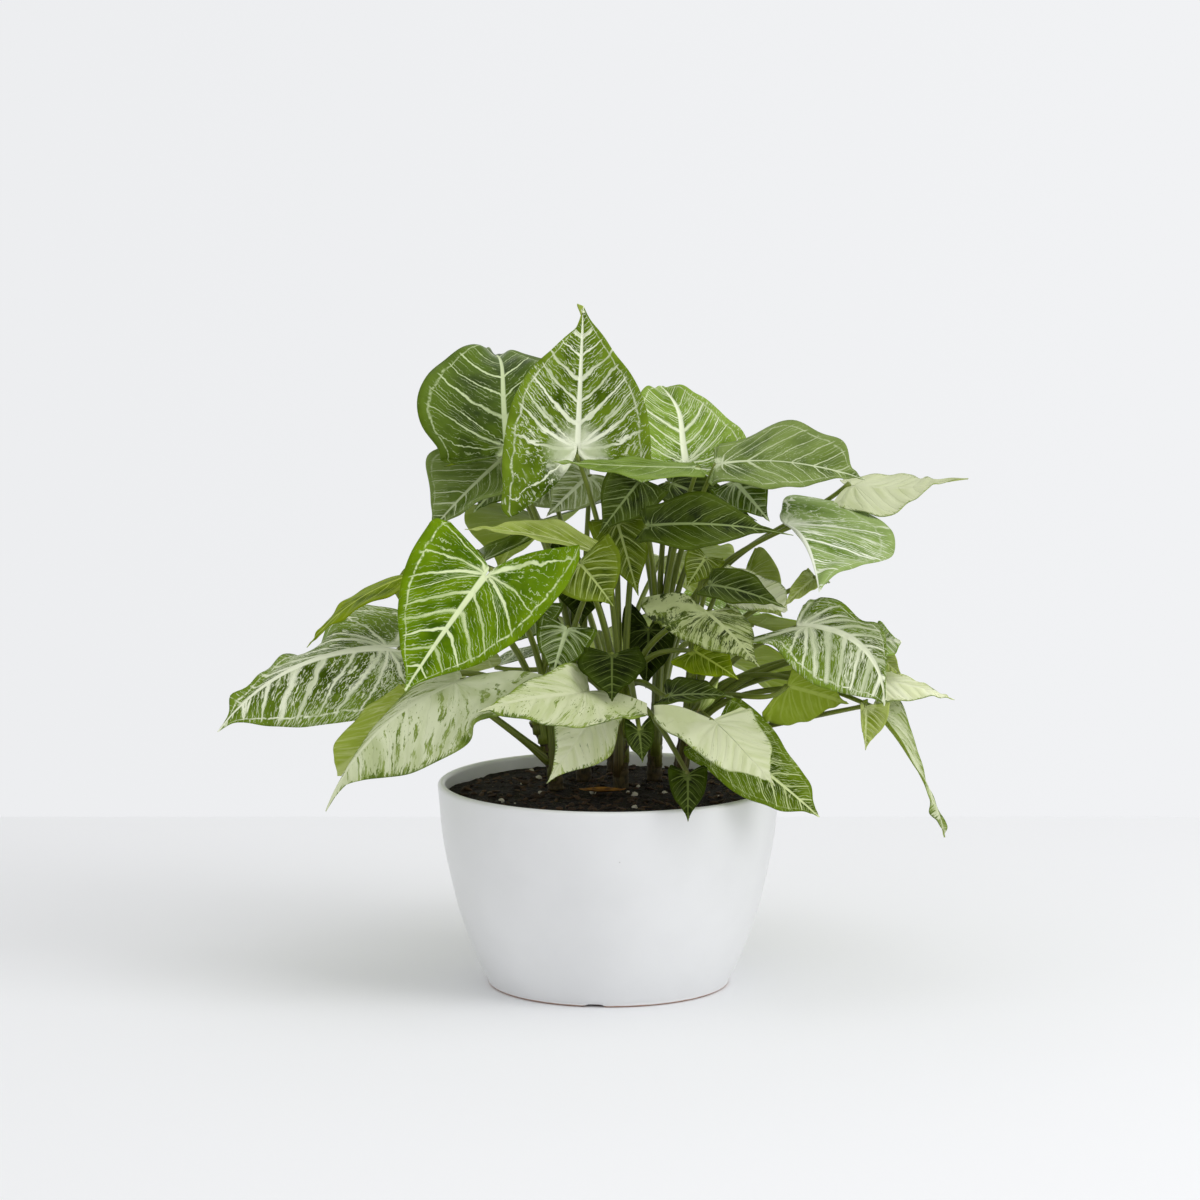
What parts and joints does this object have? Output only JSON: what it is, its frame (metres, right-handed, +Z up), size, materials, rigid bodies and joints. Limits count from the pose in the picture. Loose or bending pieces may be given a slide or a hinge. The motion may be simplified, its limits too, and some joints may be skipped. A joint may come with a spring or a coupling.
{
  "type": "potted syngonium",
  "caption": "Arrow-leaved foliage plant with variegated blades on long stalks, growing in a smooth round bowl planter filled with soil.",
  "frame": {"origin": "centre of the pot's flat underside", "axes": "+Z up; -Y is the side seen from the front, +X is the plant's right in that view"},
  "size_m": [0.4773, 0.3424, 0.4381],
  "materials": {
    "pot_glaze": "satin white glaze over an unglazed foot",
    "soil_crumb": "dark crumbly potting soil with chips of bark",
    "stem_green": "smooth olive green stalks, brown near the soil",
    "leaf_bright": "bright green blade with white veins, slightly glossy",
    "leaf_dark": "dark green blade with pale veins, slightly glossy",
    "leaf_cream": "cream and green variegated blade, slightly glossy"
  },
  "bodies": {
    "root": {"pot": "pot_glaze", "soil": "soil_crumb", "stem_left": "stem_green", "stem_back_left": "stem_green", "stem_middle": "stem_green", "stem_back_right": "stem_green", "stem_right": "stem_green", "stem_back": "stem_green", "leaf_top": "leaf_bright", "leaf_top_left": "leaf_dark", "leaf_below_top_left": "leaf_dark", "leaf_small_behind": "leaf_dark", "leaf_top_right": "leaf_bright", "leaf_edge_on": "leaf_bright", "leaf_dome_right": "leaf_dark", "leaf_under_dome": "leaf_dark", "leaf_far_right": "leaf_cream", "leaf_right_striped": "leaf_cream", "leaf_dark_centre": "leaf_dark", "leaf_grey_behind": "leaf_dark", "leaf_lime_knob": "leaf_bright", "leaf_dark_high": "leaf_dark", "leaf_dark_middle": "leaf_dark", "leaf_big_left": "leaf_bright", "leaf_over_big": "leaf_cream", "leaf_far_left": "leaf_cream", "leaf_arched_left": "leaf_bright", "leaf_low_left": "leaf_cream", "leaf_lime_behind": "leaf_bright", "leaf_pale_centre": "leaf_cream", "leaf_pale_below": "leaf_cream", "leaf_pale_right": "leaf_cream", "leaf_low_right": "leaf_dark", "leaf_hanging_small": "leaf_dark", "leaf_flecked_centre": "leaf_cream", "leaf_dark_low": "leaf_dark", "leaf_small_low": "leaf_cream", "leaf_olive_low": "leaf_bright", "leaf_dark_point": "leaf_dark", "leaf_tiny_centre": "leaf_cream", "leaf_big_right": "leaf_cream", "leaf_curled_right": "leaf_bright", "leaf_pale_point": "leaf_cream", "leaf_lime_edge": "leaf_bright", "leaf_lime_strip": "leaf_bright", "leaf_drooping": "leaf_cream", "leaf_light_small": "leaf_bright", "leaf_olive_back": "leaf_bright", "leaf_dark_right": "leaf_dark", "leaf_olive_small": "leaf_bright", "leaf_pale_right_behind": "leaf_cream", "leaf_curled_small": "leaf_bright", "leaf_back_1": "leaf_bright", "leaf_back_2": "leaf_cream", "leaf_back_3": "leaf_cream", "leaf_back_4": "leaf_dark", "leaf_back_5": "leaf_bright", "leaf_back_6": "leaf_cream", "leaf_back_7": "leaf_dark", "leaf_back_8": "leaf_bright"}
  },
  "joints": []
}
